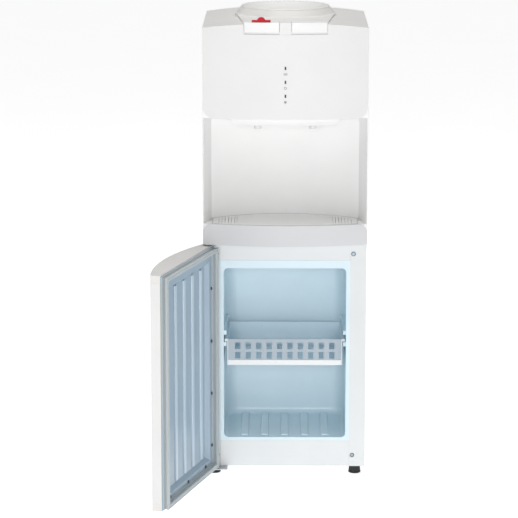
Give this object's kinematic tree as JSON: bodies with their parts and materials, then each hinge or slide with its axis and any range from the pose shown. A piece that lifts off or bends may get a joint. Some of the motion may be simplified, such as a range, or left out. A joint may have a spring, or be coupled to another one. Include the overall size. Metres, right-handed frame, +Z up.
{
  "type": "water cooler",
  "caption": "Free-standing top-load water cooler: bottle seat on the lid, press keys over a dispensing bay with a drip tray, and a refrigerated cabinet with a hinged door below.",
  "frame": {"origin": "on the floor, midway across the cabinet and midway between its front corners and its back", "axes": "+X to the right as seen from the front, the front faces -Y, +Z up"},
  "size_m": [0.3964, 0.5757, 0.8986],
  "materials": {
    "sheet_white": "semi-gloss powder coat, fine orange peel",
    "door_paint": "semi-gloss powder coat",
    "zinc_sheet": "galvanised, faint spangle",
    "rear_sheet": "grey powder coat, matt",
    "front_moulding": "smooth gloss",
    "lid_moulding": "satin, fine texture",
    "bay_moulding": "smooth gloss",
    "key_moulding": "smooth gloss",
    "tray_moulding": "satin",
    "lens_red": "translucent lens, unlit",
    "lens_yellow": "translucent lens, unlit",
    "lens_green": "translucent lens, unlit",
    "lock_red": "smooth gloss",
    "nozzle_moulding": "satin",
    "liner_blue": "vacuum-formed, satin gloss",
    "basket_moulding": "smooth gloss",
    "basket_lip_white": "smooth gloss",
    "door_liner_blue": "vacuum-formed, satin gloss",
    "gasket_grey": "soft, matt",
    "door_cap_grey": "satin",
    "black_rubber": "matt",
    "screw_steel": "zinc plated",
    "pin_steel": "ground and plated",
    "bush_nylon": "satin",
    "foam": "closed-cell foam",
    "tank_foam": "expanded bead foam",
    "copper": "drawn copper",
    "evaporator_aluminium": "rolled",
    "tank_steel": "brushed stainless",
    "heater_steel": "heat-tinted band",
    "silicone": "translucent silicone",
    "compressor_black": "gloss black enamel",
    "condenser_black": "satin black",
    "board_green": "solder mask",
    "frame_black": "fine texture",
    "switch_red": "smooth",
    "switch_green": "smooth",
    "drain_white": "satin",
    "valve_white": "satin",
    "probe_white": "smooth"
  },
  "bodies": {
    "cabinet": {"left_side_panel": "sheet_white", "right_side_panel": "sheet_white", "cabinet_top_rail": "sheet_white", "lower_front_panel": "sheet_white", "base_plate": "zinc_sheet", "tank_deck": "zinc_sheet", "tank_shelf": "zinc_sheet", "hinge_plates": "zinc_sheet", "rear_panel": "rear_sheet", "front_panel": "front_moulding", "drip_band": "front_moulding", "lid": "lid_moulding", "bottle_seat": "lid_moulding", "bay_panel": "bay_moulding", "spout_cover": "bay_moulding", "red_lamp": "lens_red", "yellow_lamp": "lens_yellow", "green_lamp": "lens_green", "nozzles": "nozzle_moulding", "cabinet_liner": "liner_blue", "feet": "black_rubber", "compressor_mounts": "black_rubber", "pillar_screws": "screw_steel", "key_shaft": "pin_steel", "cabinet_foam": "foam", "cold_tank_foam": "tank_foam", "refrigerant_pipes": "copper", "cabinet_evaporator": "evaporator_aluminium", "cold_tank": "tank_steel", "hot_tank": "tank_steel", "hot_tank_heater": "heater_steel", "water_hoses": "silicone", "compressor": "compressor_black", "condenser": "condenser_black", "indicator_board": "board_green", "switch_frames": "frame_black", "power_inlet": "frame_black", "drain_spout": "drain_white", "tap_valves": "valve_white", "bottle_probe": "probe_white"},
    "door": {"door_skin": "door_paint", "door_bottom_cap": "door_cap_grey", "door_top_cap": "door_cap_grey", "door_bushes": "bush_nylon", "door_foam": "foam", "door_liner": "door_liner_blue", "door_gasket": "gasket_grey", "door_screws": "screw_steel"},
    "basket": {"basket": "basket_lip_white", "basket_front": "basket_moulding"},
    "drip_tray": {"drip_tray": "tray_moulding"},
    "tray_grille": {"tray_grille": "tray_moulding"},
    "hot_key": {"hot_key": "key_moulding"},
    "cold_key": {"cold_key": "key_moulding"},
    "child_lock": {"child_lock": "lock_red"},
    "hot_push_rod": {"hot_push_rod": "valve_white"},
    "cold_push_rod": {"cold_push_rod": "valve_white"},
    "heating_switch": {"heating_switch": "switch_red"},
    "cooling_switch": {"cooling_switch": "switch_green"},
    "drain_cap": {"drain_cap": "drain_white"}
  },
  "joints": [
    {"name": "cabinet_door", "type": "hinge", "parent": "cabinet", "child": "door", "pos_m": [-0.142, -0.1395, 0.2395], "axis": [0, 0, -1], "range_deg": [-107, 23]},
    {"name": "basket_slide", "type": "slide", "parent": "cabinet", "child": "basket", "axis": [0, -1, 0], "range_m": [0, 0.14]},
    {"name": "drip_tray_lift", "type": "slide", "parent": "cabinet", "child": "drip_tray", "axis": [0, 0, 1], "range_m": [0, 0.05]},
    {"name": "grille_lift", "type": "slide", "parent": "drip_tray", "child": "tray_grille", "axis": [0, 0, 1], "range_m": [0, 0.05]},
    {"name": "hot_key_press", "type": "hinge", "parent": "cabinet", "child": "hot_key", "pos_m": [-0.044, -0.1065, 0.873], "axis": [1, 0, 0], "range_deg": [0, 3], "stiffness_Nm_per_rad": 3, "springref_deg": -2.86},
    {"name": "cold_key_press", "type": "hinge", "parent": "cabinet", "child": "cold_key", "pos_m": [0.044, -0.1065, 0.873], "axis": [1, 0, 0], "range_deg": [0, 3], "stiffness_Nm_per_rad": 3, "springref_deg": -2.86},
    {"name": "hot_rod_push", "type": "slide", "parent": "cabinet", "child": "hot_push_rod", "axis": [0, 0, -1], "range_m": [0, 0.0015]},
    {"name": "cold_rod_push", "type": "slide", "parent": "cabinet", "child": "cold_push_rod", "axis": [0, 0, -1], "range_m": [0, 0.0015]},
    {"name": "child_lock_slide", "type": "slide", "parent": "hot_key", "child": "child_lock", "axis": [0, 1, 0], "range_m": [0, 0.003], "stiffness_N_per_m": 200, "springref_m": -0.002},
    {"name": "heating_switch_tip", "type": "hinge", "parent": "cabinet", "child": "heating_switch", "pos_m": [-0.017, 0.133, 0.69], "axis": [1, 0, 0], "range_deg": [-8, 8]},
    {"name": "cooling_switch_tip", "type": "hinge", "parent": "cabinet", "child": "cooling_switch", "pos_m": [0.017, 0.133, 0.69], "axis": [1, 0, 0], "range_deg": [-8, 8]},
    {"name": "drain_cap_turn", "type": "hinge", "parent": "cabinet", "child": "drain_cap", "pos_m": [-0.088, 0.1425, 0.4755], "axis": [0, 1, 0], "continuous": true}
  ],
  "couplings": [
    {"joint": "hot_rod_push", "follows": "hot_key_press", "m_per_rad": 0.0255},
    {"joint": "cold_rod_push", "follows": "cold_key_press", "m_per_rad": 0.0255}
  ]
}
